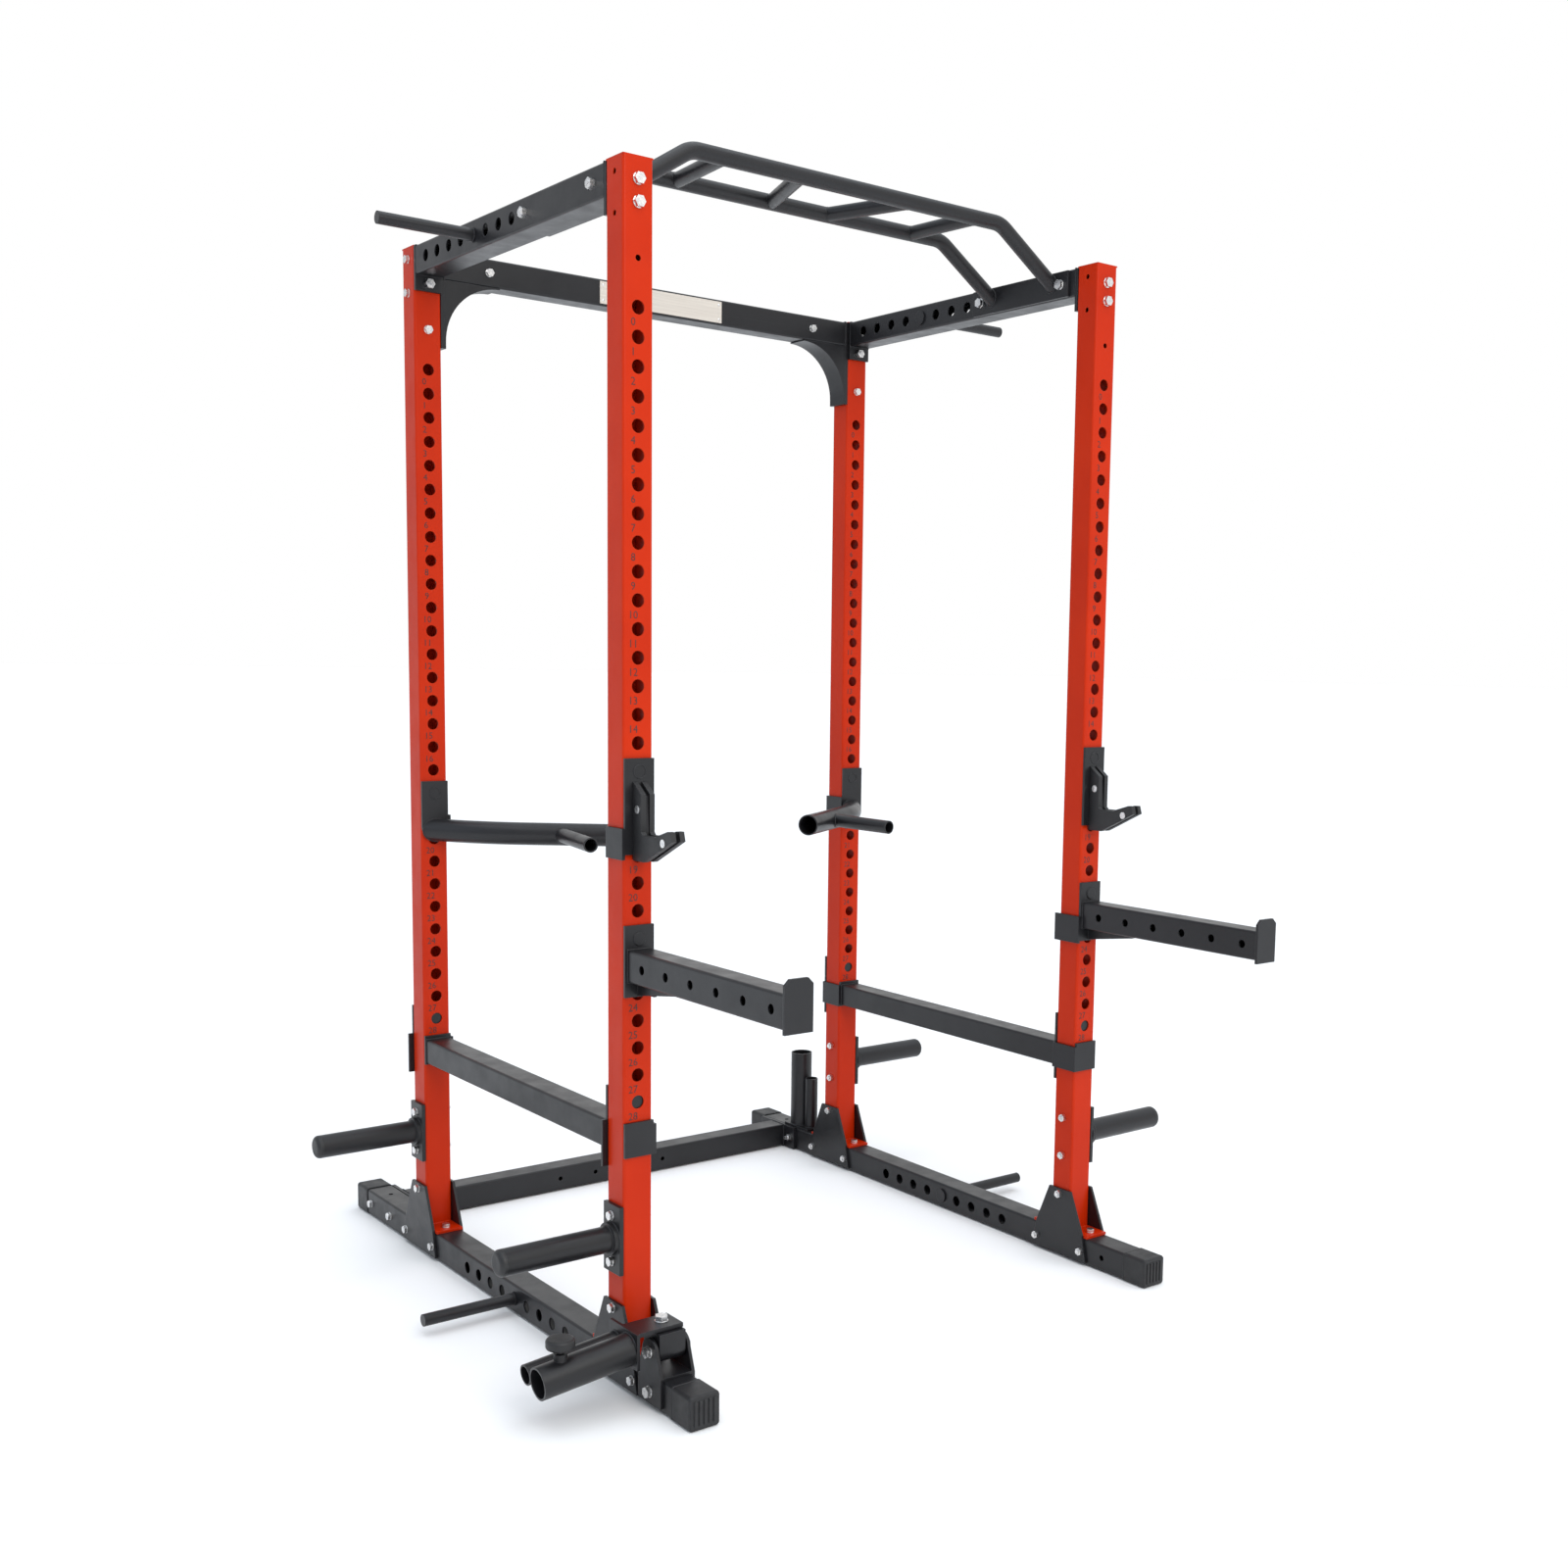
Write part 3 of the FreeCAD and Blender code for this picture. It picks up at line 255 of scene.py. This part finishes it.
def column_middle(end, side_name):
    """The centre of an upright's box."""
    return middle("%s_%s_upright" % (end, side_name))


def hole_height(number):
    """The height of a numbered hole of the uprights; halves fall between two holes."""
    return HOLE_10 + (10 - number) * HOLE_PITCH


HOLE_10 = mount_named("front_left_upright_hole_10")["pos_m"][2]


# ---------------------------------------------------------------- number marks between the holes

MARK_SIZE, MARK_THICK, MARK_SINK = 20 * MM, 0.12 * MM, 0.05 * MM
MARK_LEFT, MARK_DROP, MARK_MARGIN = 10 * MM, 7 * MM, 9 * MM


def number_marks(label, covers):
    """Generic hole numbers on an upright's front face, except where a bracket covers them."""
    column = middle(label)
    bm = bmesh.new()
    for number in range(HOLE_COUNT):
        z = hole_height(number + 0.5)
        if any(low.z - MARK_MARGIN < z < high.z + MARK_MARGIN for low, high in covers):
            continue
        text = bpy.data.curves.new("number", "FONT")
        text.body = str(number)
        text.size = MARK_SIZE
        text.extrude = MARK_THICK
        text.align_x = "CENTER"
        text.resolution_u = 2
        holder = bpy.data.objects.new("number", text)
        flat = bpy.data.meshes.new_from_object(holder)
        spot = Matrix.Translation((column.x - MARK_LEFT, column.y - TUBE / 2 - MARK_SINK, z - MARK_DROP))
        flat.transform(spot @ Matrix.Rotation(math.radians(90), 4, "X"))
        bm.from_mesh(flat)
        bpy.data.meshes.remove(flat)
        bpy.data.objects.remove(holder)
        bpy.data.curves.remove(text)
    mesh = bpy.data.meshes.new(label + "_numbers")
    bm.to_mesh(mesh)
    bm.free()
    add_piece(label + "_numbers", mesh, "rack", "mark")


for side_name, _ in SIDES:
    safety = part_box(side_name + "_safety_tube")
    number_marks("front_%s_upright" % side_name,
                 [safety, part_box(side_name + "_jhook_bracket"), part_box(side_name + "_spotter_bracket")])
    number_marks("rear_%s_upright" % side_name, [safety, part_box(side_name + "_dip_bracket")])


# ---------------------------------------------------------------- weld beads

BEAD, SMALL_BEAD, THIN_BEAD, GRIP_BEAD = 2 * MM, 1.8 * MM, 1.2 * MM, 0.9 * MM
RIPPLE_STEP, RIPPLE_DIP, BEAD_END = 0.55, 0.84, 0.4


def bead(bm, path, radius, closed=False):
    """A weld bead along a path: a rippled octagonal rope, with tapered ends unless it closes."""
    corners = 8
    points = [Vector(p) for p in path]
    if closed:
        points.append(points[0])
    runs = []
    for a, b in zip(points, points[1:]):
        steps = max(2, int((b - a).length / (radius * RIPPLE_STEP)))
        runs += [a.lerp(b, i / steps) for i in range(steps)]
    if not closed:
        runs.append(points[-1])
    rings = []
    count = len(runs)
    for i, here in enumerate(runs):
        after = runs[(i + 1) % count] if closed else runs[min(i + 1, count - 1)]
        before = runs[(i - 1) % count] if closed else runs[max(i - 1, 0)]
        way = (after - before).normalized()
        flank = way.orthogonal().normalized()
        other = way.cross(flank)
        size = radius * (1.0 if i % 2 else RIPPLE_DIP)
        if not closed and i in (0, count - 1):
            size *= BEAD_END
        angles = [k * 2 * math.pi / corners for k in range(corners)]
        around = [flank * math.cos(t) + other * math.sin(t) for t in angles]
        rings.append([bm.verts.new(here + way_out * size) for way_out in around])
    # the rings' own starting directions may differ, so each pair is matched by nearest corner
    for i in range(count if closed else count - 1):
        a, b = rings[i], rings[(i + 1) % count]
        turn = min(range(corners), key=lambda k: (a[0].co - b[k].co).length)
        after, before = b[(turn + 1) % corners], b[(turn - 1) % corners]
        step = -1 if (a[1].co - after.co).length > (a[1].co - before.co).length else 1
        order = [b[(turn + step * k) % corners] for k in range(corners)]
        for k in range(corners):
            on = (k + 1) % corners
            bm.faces.new((a[k], a[on], order[on], order[k]))
    if not closed:
        bm.faces.new(rings[0])
        bm.faces.new(list(reversed(rings[-1])))


def oval(centre, first, second):
    """Points of an ellipse with the two given half-axes."""
    count = 40
    points = []
    for k in range(count):
        t = 2 * math.pi * k / count
        points.append(Vector(centre) + Vector(first) * math.cos(t) + Vector(second) * math.sin(t))
    return points


def ring(centre, radius, axis):
    """Points of a circle about an axis."""
    axis = Vector(axis).normalized()
    flank = axis.orthogonal().normalized()
    return oval(centre, flank * radius, axis.cross(flank) * radius)


def saddle(start, way, radius, main_point, main_way, main_radius):
    """Where a round bar leaving start along way meets the skin of a larger round bar."""
    way, main_way, main_point = Vector(way).normalized(), Vector(main_way).normalized(), Vector(main_point)
    points = []
    for spot in ring(start, radius, way):
        gap = (spot - main_point).cross(main_way)
        drift = way.cross(main_way)
        a, b, c = drift.dot(drift), 2 * gap.dot(drift), gap.dot(gap) - main_radius ** 2
        root = math.sqrt(max(b * b - 4 * a * c, 0))
        points.append(spot + way * ((root - b) / (2 * a)))
    return points


def loop_xz(x0, x1, z0, z1, y):
    """A rectangle in the plane at y."""
    return [(x0, y, z0), (x1, y, z0), (x1, y, z1), (x0, y, z1)]


def loop_yz(y0, y1, z0, z1, x):
    """A rectangle in the plane at x."""
    return [(x, y0, z0), (x, y1, z0), (x, y1, z1), (x, y0, z1)]


def weld_piece(name, body, runs, look="weld"):
    """One object of painted beads; each run is its path, its radius and whether it closes."""
    bm = bmesh.new()
    for path, radius, closed in runs:
        bead(bm, path, radius, closed)
    add_piece(name, finish_mesh(name, bm), body, look)


def peg_welds():
    """A bead round the collar and the root of each plate peg."""
    runs = []
    z = middle("plate_pegs").z
    for side_name, side in SIDES:
        for end in ENDS:
            column = column_middle(end, side_name)
            seat = column.x + side * (TUBE / 2 + FLANGE)
            runs.append((ring((seat, column.y, z), PEG_COLLAR_R, (1, 0, 0)), BEAD, True))
            runs.append((ring((seat + side * PEG_COLLAR, column.y, z), PEG_R, (1, 0, 0)), BEAD, True))
    return runs


def beam_welds():
    """Beads round the ends of the top beams and of the two rear crossbeams."""
    runs = []
    for side_name, _ in SIDES:
        low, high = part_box(side_name + "_top_beam")
        for y in (low.y + FLANGE, high.y - FLANGE):
            runs.append((loop_xz(low.x + MM, high.x - MM, high.z - TUBE, high.z, y), BEAD, True))
    for beam in ("rear_top_crossbeam", "rear_base_crossbeam"):
        low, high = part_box(beam)
        y = (low.y + high.y) / 2
        for x in (low.x + FLANGE, high.x - FLANGE):
            runs.append((loop_yz(y - TUBE / 2, y + TUBE / 2, high.z - TUBE, high.z, x), BEAD, True))
    return runs


def bar_welds():
    """Beads at the pull-up bar's legs and grips, and round the bar holder's tubes."""
    runs = []
    leg_rise = 19.2 * MM  # half the height of the sloping leg where it is cut upright
    for tube in ("pullup_front_tube", "pullup_rear_tube"):
        low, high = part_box(tube)
        y, leg_z = (low.y + high.y) / 2, low.z + leg_rise
        for x in (low.x, high.x):
            runs.append((oval((x, y, leg_z), (0, BAR_R, 0), (0, 0, leg_rise)), BEAD, True))
    front, rear = middle("pullup_front_tube"), middle("pullup_rear_tube")
    bar_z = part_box("pullup_front_tube")[1].z - BAR_R
    for _, side in SIDES:
        for front_x, rear_x in GRIP_ENDS:
            ends = Vector((side * front_x, front.y, bar_z)), Vector((side * rear_x, rear.y, bar_z))
            for start, stop in (ends, ends[::-1]):
                path = saddle(start, stop - start, GRIP_R, start, (1, 0, 0), BAR_R)
                runs.append((path, GRIP_BEAD, True))
    for tube in ("bar_holder_tall_tube", "bar_holder_short_tube"):
        low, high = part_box(tube)
        centre = ((low.x + high.x) / 2, (low.y + high.y) / 2, low.z)
        runs.append((ring(centre, (high.x - low.x) / 2, (0, 0, 1)), BEAD, True))
    return runs


def foot_welds():
    """Beads across the front and back of each column where it stands on its foot plate."""
    runs = []
    half = 26 * MM
    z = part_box("upright_foot_plates")[1].z
    for side_name, _ in SIDES:
        for end in ENDS:
            column = column_middle(end, side_name)
            for y in (column.y - TUBE / 2, column.y + TUBE / 2):
                runs.append(([(column.x - half, y, z), (column.x + half, y, z)], BEAD, False))
    return runs


def dip_welds(side_name, side):
    """Beads where the dip handle meets its bracket and where its branch leaves it."""
    low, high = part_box(side_name + "_dip_tubes")
    reach = max(abs(low.x), abs(high.x))
    slant = 31 * MM  # half the width of the slanting tube where the bracket cuts it
    root = oval((side * (reach - slant), high.y, high.z - DIP_R), (slant, 0, 0), (0, 0, DIP_R))
    fork = Vector((side * 372 * MM, high.y - 183 * MM, high.z - 29 * MM))
    branch_way, main_way = (side * 30, -198, -4), (side * -255, -160, -4)
    path = saddle(fork, branch_way, BRANCH_R, fork, main_way, DIP_R)
    return [(root, BEAD, True), (path, SMALL_BEAD, True)]


def head_welds():
    """Beads round the two landmine sleeves, just inside the back plate they leave."""
    runs = []
    back = 88 * MM
    for name, radius in (("landmine_main_sleeve", 30 * MM), ("landmine_side_sleeve", 19 * MM)):
        mount = mount_named(name)
        way = Vector(mount["axis"])
        root = Vector(mount["pos_m"]) - way * back
        runs.append((ring(root, radius, way), BEAD, True))
    return runs


weld_piece("rack_welds", "rack", peg_welds() + beam_welds() + bar_welds())
weld_piece("foot_welds", "rack", foot_welds(), "red_weld")
weld_piece("landmine_head_welds", "landmine_head", head_welds())
for side_name, side in SIDES:
    weld_piece(side_name + "_dip_welds", side_name + "_dip_handle", dip_welds(side_name, side))
    low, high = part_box(side_name + "_spotter_arm")
    arm_loops = [(loop_xz(low.x, high.x, low.z, high.z, y), SMALL_BEAD, True) for y in (low.y, high.y)]
    weld_piece(side_name + "_spotter_welds", side_name + "_spotter", arm_loops)
    low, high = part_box(side_name + "_safety_tube")
    bar_loops = [(loop_xz(low.x, high.x, low.z, high.z, y), BEAD, True) for y in (low.y, high.y)]
    weld_piece(side_name + "_safety_welds", side_name + "_safety", bar_loops)


# ---------------------------------------------------------------- pin roots

JHOOK_HOLE, SPOTTER_HOLE, DIP_HOLE = 16, 22, 18


def pin_root(side_name, kind, body, hole):
    """The welded round end of an accessory's pin, on the front of its bracket's plate."""
    joint = [item for item in RECORD["behaviour"]["joints"] if item["child"] == body][0]
    end = "rear" if kind == "dip" else "front"
    front_y = column_middle(end, side_name).y - TUBE / 2 - PLATE
    spot = (joint["pos_m"][0], front_y, hole_height(hole))
    weld_piece("%s_%s_pin_root" % (side_name, kind), body, [(ring(spot, PIN_R, (0, 1, 0)), THIN_BEAD, True)])


for side_name, _ in SIDES:
    pin_root(side_name, "jhook", side_name + "_jhook", JHOOK_HOLE)
    pin_root(side_name, "spotter", side_name + "_spotter", SPOTTER_HOLE)
    pin_root(side_name, "dip", side_name + "_dip_handle", DIP_HOLE)


# ---------------------------------------------------------------- end boots

def boot(bm, side, tip_y, mouth_y):
    """A moulded boot: rounded outer shell with a ribbed face and a lip round its mouth."""
    x = side * abs(middle("left_base_beam").x)
    half, top, corner = 31.6 * MM, 64 * MM, 7 * MM
    length = abs(mouth_y - tip_y)
    sense = 1 if mouth_y > tip_y else -1
    # how far along the boot each ring of corners lies, and how far it swells from the full section
    stations = [(2.6 * MM, -6 * MM), (2.9 * MM, -3 * MM), (4 * MM, -1.2 * MM), (7 * MM, 0),
                (length - 5 * MM, 0), (length - 4.4 * MM, -0.8 * MM), (length - 3.6 * MM, -0.8 * MM),
                (length - 3 * MM, 0), (length, 0)]
    corner_steps = 7
    corner_turn = 90 / (corner_steps - 1)
    around = 4 * corner_steps
    rings = []
    for along, grow in stations:
        ring_points = []
        for cx, cz, begin in ((1, 1, 0), (-1, 1, 90), (-1, -1, 180), (1, -1, 270)):
            for k in range(corner_steps):
                t = math.radians(begin + corner_turn * k)
                px = cx * (half - corner) + math.cos(t) * (corner + grow)
                pz = top / 2 + cz * (top / 2 - corner) + math.sin(t) * (corner + grow)
                ring_points.append(bm.verts.new((x + px, tip_y + sense * along, max(pz, 0))))
        rings.append(ring_points)
    bm.faces.new(rings[0])
    # the mouth's lip turns in to a slightly smaller ring and a short way back into the boot
    inward, deep = 0.945, 3 * MM
    lip = []
    for v in rings[-1]:
        lip.append(bm.verts.new((x + (v.co.x - x) * inward, v.co.y, top / 2 + (v.co.z - top / 2) * inward)))
    rings += [lip, [bm.verts.new((v.co.x, v.co.y - sense * deep, v.co.z)) for v in lip]]
    for a, b in zip(rings, rings[1:]):
        for k in range(around):
            on = (k + 1) % around
            bm.faces.new((a[k], a[on], b[on], b[k]))
    ribs(bm, x, tip_y, sense)


def ribs(bm, x, tip_y, sense):
    """Five upright ribs with softened edges on a boot's end face."""
    width, thick, tall, bevel = 5 * MM, 3.4 * MM, 46 * MM, 0.7 * MM
    inset, centre_z = 1.75 * MM, 32 * MM
    for rib_x in (-20, -10, 0, 10, 20):
        rib = bmesh.ops.create_cube(bm, size=1.0)["verts"]
        size = Matrix.Diagonal((width, thick, tall, 1))
        spot = Matrix.Translation((x + rib_x * MM, tip_y + sense * inset, centre_z))
        bmesh.ops.transform(bm, matrix=spot @ size, verts=rib)
        edges = list({edge for corner_vert in rib for edge in corner_vert.link_edges})
        bmesh.ops.bevel(bm, geom=edges, offset=bevel, segments=2, affect="EDGES")


low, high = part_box("base_end_boots")
boots = bmesh.new()
for _, side in SIDES:
    boot(boots, side, low.y, low.y + BOOT_LENGTH)
    boot(boots, side, high.y, high.y - BOOT_LENGTH)
boot_piece = add_piece("end_boots", finish_mesh("end_boots", boots), "rack", "black_plastic")
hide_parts("base_end_boots")
boot_piece.data.shade_flat()


# ---------------------------------------------------------------- badge rivets

def badge_rivets():
    """A flattened dome near each corner of the badge plate."""
    edge, radius, flatten = 8 * MM, 3 * MM, 0.45
    low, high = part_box("blank_badge_plate")
    bm = bmesh.new()
    for x in (low.x + edge, high.x - edge):
        for z in (low.z + edge, high.z - edge):
            dome = bmesh.ops.create_uvsphere(bm, u_segments=16, v_segments=8, radius=radius)["verts"]
            squash = Matrix.Translation((x, low.y, z)) @ Matrix.Diagonal((1, flatten, 1, 1))
            bmesh.ops.transform(bm, matrix=squash, verts=dome)
    add_piece("badge_rivets", finish_mesh("badge_rivets", bm), "rack", "zinc")


badge_rivets()


# ---------------------------------------------------------------- stage, light and camera

def area_light(name, spot, aim, size, power, color):
    """A square light that faces a point."""
    light = bpy.data.lights.new(name, "AREA")
    light.shape = "RECTANGLE"
    light.size, light.size_y = size
    light.energy = power
    light.color = color
    lamp = bpy.data.objects.new(name, light)
    lamp.location = spot
    lamp.rotation_euler = (Vector(aim) - Vector(spot)).to_track_quat("-Z", "Y").to_euler()
    bpy.context.scene.collection.objects.link(lamp)


def studio_floor():
    """A pale floor, wide enough to reach the horizon, a hair below the object."""
    mat, tree, bsdf, place = shader("studio_floor", (0.90, 0.90, 0.90), 0.85)
    tree.links.new(spread(tree, noise(tree, place, 2.0), 0.8, 0.9), bsdf.inputs["Roughness"])
    mesh = bpy.data.meshes.new("studio_floor")
    half = 150
    corners = [(-half, -half, 0), (half, -half, 0), (half, half, 0), (-half, half, 0)]
    mesh.from_pydata(corners, [], [(0, 1, 2, 3)])
    floor = bpy.data.objects.new("studio_floor", mesh)
    floor.location.z = -0.5 * MM
    mesh.materials.append(mat)
    bpy.context.scene.collection.objects.link(floor)


def studio_sky():
    """White surroundings, a little blue overhead and dimmer towards the left."""
    white = (1.0, 1.0, 1.0)
    world = bpy.data.worlds.new("studio")
    bpy.context.scene.world = world
    world.use_nodes = True
    tree = world.node_tree
    split = tree.nodes.new("ShaderNodeSeparateXYZ")
    tree.links.new(tree.nodes.new("ShaderNodeTexCoord").outputs["Generated"], split.inputs["Vector"])
    sides = tint(tree, spread(tree, split.outputs["X"], 0, 1, -0.9, 0.1), (0.50, 0.54, 0.60), white)
    sky = tint(tree, spread(tree, split.outputs["Z"], 0, 1, 0.35, 0.95), white, (0.80, 0.90, 1.0))
    both = tree.nodes.new("ShaderNodeMix")
    both.data_type = "RGBA"
    both.blend_type = "MULTIPLY"
    both.inputs["Factor"].default_value = 1.0
    tree.links.new(sides, both.inputs["A"])
    tree.links.new(sky, both.inputs["B"])
    tree.links.new(both.outputs["Result"], tree.nodes["Background"].inputs["Color"])
    tree.nodes["Background"].inputs["Strength"].default_value = 1.0


def studio_lights():
    """A warm key from the front, a cool fill from the left and an even, very soft light from above."""
    area_light("key", (-0.6, -5.5, 4.0), (0, 0, 1.0), (3.0, 3.0), 125, (1.0, 0.97, 0.93))
    area_light("left_sky", (-6.0, 0.5, 3.5), (0, 0, 1.2), (4.0, 4.0), 40, (0.80, 0.88, 1.0))
    sun = bpy.data.lights.new("high_sun", "SUN")
    sun.energy = 1.3
    sun.angle = math.radians(70)
    lamp = bpy.data.objects.new("high_sun", sun)
    lamp.rotation_euler = (math.radians(12), 0, 0)
    bpy.context.scene.collection.objects.link(lamp)
    bpy.context.scene.view_settings.view_transform = "Standard"


def camera():
    """The picture's viewpoint: left of the front, a little above chest height, looking slightly down."""
    yaw, pitch, roll = math.radians(39.235), math.radians(6.28), math.radians(1.034)
    stand = (-2.1216, -3.0591, 1.352)
    ahead = Vector((math.sin(yaw) * math.cos(pitch), math.cos(yaw) * math.cos(pitch), -math.sin(pitch)))
    flat_right = Vector((math.cos(yaw), -math.sin(yaw), 0))
    flat_up = flat_right.cross(ahead)
    right = flat_right * math.cos(roll) + flat_up * math.sin(roll)
    up = right.cross(ahead)
    lens = bpy.data.cameras.new("view")
    lens.sensor_width = 36
    lens.lens = 38.72
    lens.shift_x = -0.0787
    lens.shift_y = 0.0425
    eye = bpy.data.objects.new("view", lens)
    turn = Matrix((right, up, -ahead)).transposed().to_4x4()
    eye.matrix_world = Matrix.Translation(stand) @ turn
    bpy.context.scene.collection.objects.link(eye)
    bpy.context.scene.camera = eye


studio_floor()
studio_sky()
studio_lights()
camera()
